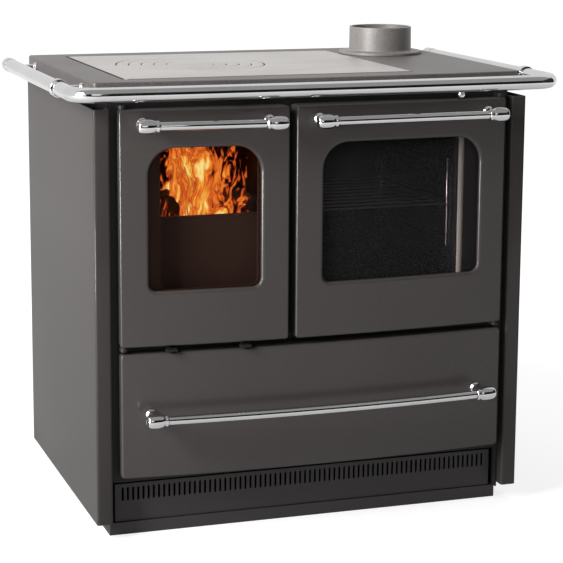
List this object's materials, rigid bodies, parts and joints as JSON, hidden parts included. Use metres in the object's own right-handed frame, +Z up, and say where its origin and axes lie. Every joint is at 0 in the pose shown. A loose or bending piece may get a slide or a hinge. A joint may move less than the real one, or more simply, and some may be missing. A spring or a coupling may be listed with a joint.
{
  "type": "wood cookstove",
  "caption": "Wood-burning kitchen stove with bowed firebox and oven doors, a wood drawer, lift-off hot plate and rings, flue collar and handrail.",
  "frame": {"origin": "on the floor, midway between the two side panels and midway between the front posts and the back of the side panels", "axes": "+X to the right seen from the front, -Y towards the user, +Z up"},
  "size_m": [0.97, 0.6958, 0.913],
  "materials": {
    "body_paint": "satin grey stove enamel",
    "door_paint": "dark grey hammered paint on cast iron",
    "plinth_paint": "matt black paint",
    "dark_steel": "matt black heatproof paint on sheet steel",
    "cast_top": "grey painted casting",
    "hot_plate": "ground bright, brushed front to back",
    "cast_iron": "sand cast, bare",
    "chrome": "polished",
    "glass": "clear heatproof ceramic glass",
    "fire_brick": "rough refractory",
    "rope": "braided glass fibre",
    "enamel": "glossy black enamel",
    "zinc": "galvanised sheet"
  },
  "bodies": {
    "stove": {"base_frame": "plinth_paint", "vent_panel": "plinth_paint", "left_side_panel": "body_paint", "right_side_panel": "body_paint", "rear_panel": "body_paint", "inner_casing": "dark_steel", "front_frame": "dark_steel", "firebox_gasket": "rope", "oven_gasket": "rope", "left_drawer_runner": "zinc", "right_drawer_runner": "zinc", "cooktop_frame": "cast_top", "flue_collar": "cast_iron", "outlet_box": "dark_steel", "front_handrail": "chrome", "right_handrail": "chrome", "left_handrail": "chrome", "right_rail_collar": "chrome", "left_rail_collar": "chrome", "right_rail_stud": "chrome", "left_rail_stud": "chrome", "front_left_rail_stud": "chrome", "front_right_rail_stud": "chrome", "firebox_casing": "dark_steel", "left_firebrick": "fire_brick", "right_firebrick": "fire_brick", "rear_firebrick": "fire_brick", "grate": "cast_iron", "log_guard": "cast_iron", "ash_pan": "zinc", "oven_liner": "enamel", "left_rack_guide": "chrome", "right_rack_guide": "chrome", "oven_rack": "chrome"},
    "firebox_door": {"firebox_door": "door_paint", "firebox_door_glass": "glass", "firebox_door_lining": "cast_iron", "firebox_handle_bar": "chrome", "firebox_handle_left_end": "chrome", "firebox_handle_right_end": "chrome"},
    "oven_door": {"oven_door": "door_paint", "oven_door_glass": "glass", "oven_inner_pane": "glass", "oven_handle_bar": "chrome", "oven_handle_left_end": "chrome", "oven_handle_right_end": "chrome"},
    "wood_drawer": {"drawer_front": "door_paint", "drawer_box": "zinc", "drawer_handle_bar": "chrome", "drawer_handle_left_end": "chrome", "drawer_handle_right_end": "chrome"},
    "damper": {"damper": "dark_steel"},
    "primary_air": {"primary_air_slide": "dark_steel"},
    "secondary_air": {"secondary_air_slide": "dark_steel"},
    "hot_plate": {"hot_plate": "hot_plate"},
    "ring_4": {"ring_4": "hot_plate"},
    "ring_3": {"ring_3": "hot_plate"},
    "ring_2": {"ring_2": "hot_plate"},
    "ring_1": {"ring_1": "hot_plate"},
    "centre_lid": {"centre_lid": "hot_plate"}
  },
  "joints": [
    {"name": "firebox_door_hinge", "type": "hinge", "parent": "stove", "child": "firebox_door", "pos_m": [-0.372, -0.298, 0.589], "axis": [0, 0, 1], "range_deg": [-100, 0]},
    {"name": "oven_door_hinge", "type": "hinge", "parent": "stove", "child": "oven_door", "pos_m": [0.372, -0.298, 0.589], "axis": [0, 0, 1], "range_deg": [0, 100]},
    {"name": "drawer_slide", "type": "slide", "parent": "stove", "child": "wood_drawer", "axis": [0, -1, 0], "range_m": [0, 0.42]},
    {"name": "damper_slide", "type": "slide", "parent": "stove", "child": "damper", "axis": [0, -1, 0], "range_m": [0, 0.09]},
    {"name": "primary_air_slide", "type": "slide", "parent": "stove", "child": "primary_air", "axis": [1, 0, 0], "range_m": [0, 0.03]},
    {"name": "secondary_air_slide", "type": "slide", "parent": "stove", "child": "secondary_air", "axis": [1, 0, 0], "range_m": [0, 0.03]},
    {"name": "hot_plate_lift", "type": "slide", "parent": "stove", "child": "hot_plate", "axis": [0, 0, 1], "range_m": [0, 0.06]},
    {"name": "ring_4_lift", "type": "slide", "parent": "hot_plate", "child": "ring_4", "axis": [0, 0, 1], "range_m": [0, 0.06]},
    {"name": "ring_3_lift", "type": "slide", "parent": "ring_4", "child": "ring_3", "axis": [0, 0, 1], "range_m": [0, 0.06]},
    {"name": "ring_2_lift", "type": "slide", "parent": "ring_3", "child": "ring_2", "axis": [0, 0, 1], "range_m": [0, 0.06]},
    {"name": "ring_1_lift", "type": "slide", "parent": "ring_2", "child": "ring_1", "axis": [0, 0, 1], "range_m": [0, 0.06]},
    {"name": "centre_lid_lift", "type": "slide", "parent": "ring_1", "child": "centre_lid", "axis": [0, 0, 1], "range_m": [0, 0.06]}
  ]
}
